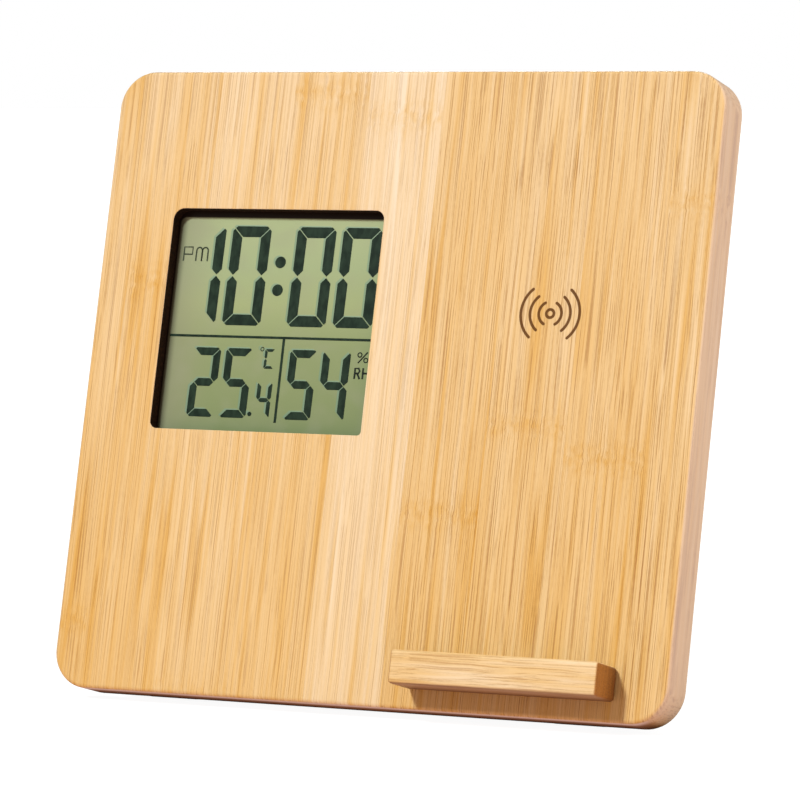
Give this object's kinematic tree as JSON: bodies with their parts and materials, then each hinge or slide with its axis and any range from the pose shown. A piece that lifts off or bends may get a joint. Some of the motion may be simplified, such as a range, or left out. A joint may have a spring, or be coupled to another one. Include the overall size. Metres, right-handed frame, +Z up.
{
  "type": "weather station",
  "caption": "Leaning bamboo desk weather station: recessed display, phone ledge under a charging coil, and a moulded back with buttons, battery bay and fold-out stand.",
  "frame": {"origin": "middle of the footprint, on the surface that it stands on", "axes": "+X to the right along the board, +Y from the front to the back, +Z up; the board leans back 14 degrees"},
  "size_m": [0.15, 0.0732, 0.1409],
  "materials": {
    "bamboo": "oiled bamboo ply, fine upright grain",
    "bamboo_bar": "oiled bamboo, grain along the bar",
    "black_abs": "finely textured moulding",
    "cell_wrap": "shrink wrap",
    "chip_epoxy": "moulded epoxy",
    "circuit_board": "solder mask over laminate",
    "copper": "enamelled copper wire",
    "diffuser_acrylic": "frosted acrylic",
    "display_glass": "reflective liquid crystal display with an acrylic front",
    "ferrite": "sintered ferrite",
    "grey_abs": "satin moulding",
    "lead_black": "insulation",
    "lead_red": "insulation",
    "lead_white": "insulation",
    "nickel": "nickel-plated steel",
    "pale_abs": "satin moulding",
    "rubber": "dull moulded rubber",
    "silicone": "striped conductive silicone",
    "steel": "zinc-plated steel",
    "tinned_can": "drawn can"
  },
  "bodies": {
    "body": {"backlight_diffuser": "diffuser_acrylic", "battery_1": "cell_wrap", "battery_2": "cell_wrap", "battery_lead_minus": "lead_black", "battery_lead_plus": "lead_red", "board_link": "lead_white", "bridge_plate": "nickel", "buzzer": "chip_epoxy", "charger_chip": "chip_epoxy", "charging_coil": "copper", "climate_sensor": "pale_abs", "clock_chip": "chip_epoxy", "clock_crystal": "tinned_can", "coil_carrier": "black_abs", "coil_lead_1": "lead_white", "coil_lead_2": "lead_white", "contact_spring_1": "steel", "contact_spring_2": "steel", "contact_strip_lower": "silicone", "contact_strip_upper": "silicone", "cover_screw_1": "steel", "cover_screw_2": "steel", "cover_screw_3": "steel", "cover_screw_4": "steel", "cover_screw_5": "steel", "display_frame": "black_abs", "down_switch": "chip_epoxy", "end_plate_1": "nickel", "end_plate_2": "nickel", "ferrite_sheet": "ferrite", "filter_capacitor": "tinned_can", "foot_left": "rubber", "foot_right": "rubber", "front_panel": "bamboo", "lcd_glass": "display_glass", "ledge_screw_1": "steel", "ledge_screw_2": "steel", "main_board": "circuit_board", "mode_switch": "chip_epoxy", "phone_ledge": "bamboo_bar", "power_board": "circuit_board", "power_board_screw_1": "steel", "power_board_screw_2": "steel", "power_inductor": "ferrite", "rear_cover": "black_abs", "set_switch": "chip_epoxy", "stand_pin": "steel", "up_switch": "chip_epoxy", "usb_inlet": "nickel"},
    "stand": {"stand_leg": "black_abs", "stand_pad": "rubber"},
    "battery_door": {"battery_door": "black_abs"},
    "mode_button": {"mode_button": "grey_abs", "mode_plunger": "pale_abs"},
    "set_button": {"set_button": "grey_abs", "set_plunger": "pale_abs"},
    "up_button": {"up_button": "grey_abs", "up_plunger": "pale_abs"},
    "down_button": {"down_button": "grey_abs", "down_plunger": "pale_abs"}
  },
  "joints": [
    {"name": "stand_hinge", "type": "hinge", "parent": "body", "child": "stand", "pos_m": [0, 0.01519, 0.07473], "axis": [1, 0, 0], "range_deg": [-28, 0]},
    {"name": "battery_door_slide", "type": "slide", "parent": "body", "child": "battery_door", "axis": [1, 0, 0], "range_m": [0, 0.03]},
    {"name": "mode_press", "type": "slide", "parent": "body", "child": "mode_button", "axis": [0, -0.9703, 0.2419], "range_m": [0, 0.0006], "stiffness_N_per_m": 400, "springref_m": -0.001},
    {"name": "set_press", "type": "slide", "parent": "body", "child": "set_button", "axis": [0, -0.9703, 0.2419], "range_m": [0, 0.0006], "stiffness_N_per_m": 400, "springref_m": -0.001},
    {"name": "up_press", "type": "slide", "parent": "body", "child": "up_button", "axis": [0, -0.9703, 0.2419], "range_m": [0, 0.0006], "stiffness_N_per_m": 400, "springref_m": -0.001},
    {"name": "down_press", "type": "slide", "parent": "body", "child": "down_button", "axis": [0, -0.9703, 0.2419], "range_m": [0, 0.0006], "stiffness_N_per_m": 400, "springref_m": -0.001}
  ]
}
